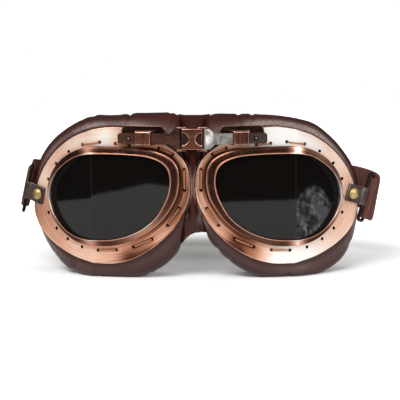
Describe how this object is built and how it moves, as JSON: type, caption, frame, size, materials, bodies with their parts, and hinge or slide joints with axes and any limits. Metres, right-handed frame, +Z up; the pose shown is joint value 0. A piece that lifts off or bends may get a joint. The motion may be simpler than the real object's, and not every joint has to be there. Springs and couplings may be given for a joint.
{
  "type": "steampunk goggles",
  "caption": "Padded leather steampunk goggles with stitched copper face plates, wrap-round dark lenses, an adjustable metal bridge and a brown elastic strap.",
  "frame": {"origin": "centre of the bounding box at the ground, under the standing goggles", "axes": "+Z up; the lenses face -Y and the strap loops back to +Y; +X is the wearer's left, along the goggles' width"},
  "size_m": [0.2187, 0.098, 0.0971],
  "materials": {
    "copper_plate": "brushed copper sheet, lightly aged",
    "dark_copper": "dark aged copper, satin with worn edges",
    "tinted_glass": "dark tinted lens, glossy",
    "black_rubber": "soft black rubber seal",
    "bronze": "dark patinated bronze, satin",
    "waxed_thread": "waxed brown thread",
    "brass": "polished brass",
    "black_wire": "black lacquered steel wire",
    "leather": "dark red-brown leather with a grey sheen",
    "padding": "soft padding inside the leather",
    "black_lining": "black woven lining",
    "webbing": "brown woven elastic"
  },
  "bodies": {
    "bridge": {"bridge_link": "dark_copper", "hinge_pins": "bronze", "mask_bridge": "leather", "bridge_pad": "padding", "strap_back": "webbing", "strap_tail": "webbing", "left_strap_run": "webbing", "right_strap_run": "webbing"},
    "left_arm": {"left_bridge_arm": "bronze", "left_stop_rivet": "bronze"},
    "left_cup": {"left_faceplate": "copper_plate", "left_lens_bezel": "dark_copper", "left_lens": "tinted_glass", "left_lens_gasket": "black_rubber", "left_lens_retainer": "bronze", "left_plate_stitching": "waxed_thread", "left_bridge_bracket": "bronze", "left_bracket_rivets": "bronze", "left_guide_box": "dark_copper", "left_tab_rivet": "brass", "left_mask_shell": "leather", "left_foam_core": "padding", "left_mask_lining": "black_lining", "left_face_cushion": "leather"},
    "left_tab": {"left_strap_tab": "bronze"},
    "left_ring": {"left_wire_ring": "black_wire", "left_strap_end": "webbing"},
    "right_arm": {"right_bridge_arm": "bronze", "right_stop_rivet": "bronze"},
    "right_cup": {"right_faceplate": "copper_plate", "right_lens_bezel": "dark_copper", "right_lens": "tinted_glass", "right_lens_gasket": "black_rubber", "right_lens_retainer": "bronze", "right_plate_stitching": "waxed_thread", "right_bridge_bracket": "bronze", "right_bracket_rivets": "bronze", "right_guide_box": "dark_copper", "right_tab_rivet": "brass", "right_mask_shell": "leather", "right_foam_core": "padding", "right_mask_lining": "black_lining", "right_face_cushion": "leather"},
    "right_tab": {"right_strap_tab": "bronze"},
    "right_ring": {"right_wire_ring": "black_wire", "right_strap_end": "webbing"},
    "slider": {"strap_slider": "bronze", "slider_bar": "bronze"}
  },
  "joints": [
    {"name": "left_bridge_hinge", "type": "hinge", "parent": "bridge", "child": "left_arm", "pos_m": [0.0046, -0.0478, 0.0844], "axis": [0, 0, 1], "range_deg": [-5, 8], "deforming": ["mask_bridge", "bridge_pad", "left_strap_run"]},
    {"name": "left_width_slide", "type": "slide", "parent": "left_arm", "child": "left_cup", "axis": [0.9877, 0.1564, 0], "range_m": [-0.0006, 0.0022], "deforming": ["mask_bridge", "bridge_pad", "left_strap_run"]},
    {"name": "left_tab_swivel", "type": "hinge", "parent": "left_cup", "child": "left_tab", "pos_m": [0.09066, -0.01214, 0.0473], "axis": [0.5446, -0.8387, 0], "range_deg": [-4, 4], "deforming": ["left_strap_run"]},
    {"name": "left_ring_swing", "type": "hinge", "parent": "left_tab", "child": "left_ring", "pos_m": [0.0975, -0.00907, 0.04489], "axis": [0.2592, 0.1683, 0.9511], "range_deg": [-12, 6], "deforming": ["left_strap_run"]},
    {"name": "right_bridge_hinge", "type": "hinge", "parent": "bridge", "child": "right_arm", "pos_m": [-0.0112, -0.0478, 0.0844], "axis": [0, 0, -1], "range_deg": [-5, 8], "deforming": ["mask_bridge", "bridge_pad", "right_strap_run"]},
    {"name": "right_width_slide", "type": "slide", "parent": "right_arm", "child": "right_cup", "axis": [-0.9877, 0.1564, 0], "range_m": [-0.0006, 0.0022], "deforming": ["mask_bridge", "bridge_pad", "right_strap_run"]},
    {"name": "right_tab_swivel", "type": "hinge", "parent": "right_cup", "child": "right_tab", "pos_m": [-0.09726, -0.01214, 0.0473], "axis": [0.5446, 0.8387, 0], "range_deg": [-5, 2], "deforming": ["right_strap_run"]},
    {"name": "right_ring_swing", "type": "hinge", "parent": "right_tab", "child": "right_ring", "pos_m": [-0.10417, -0.00902, 0.04945], "axis": [-0.2312, 0.1501, -0.9613], "range_deg": [-26, 1], "deforming": ["right_strap_run"]},
    {"name": "strap_slider_slide", "type": "slide", "parent": "bridge", "child": "slider", "axis": [1, 0, 0], "range_m": [-0.02, 0.018]}
  ]
}
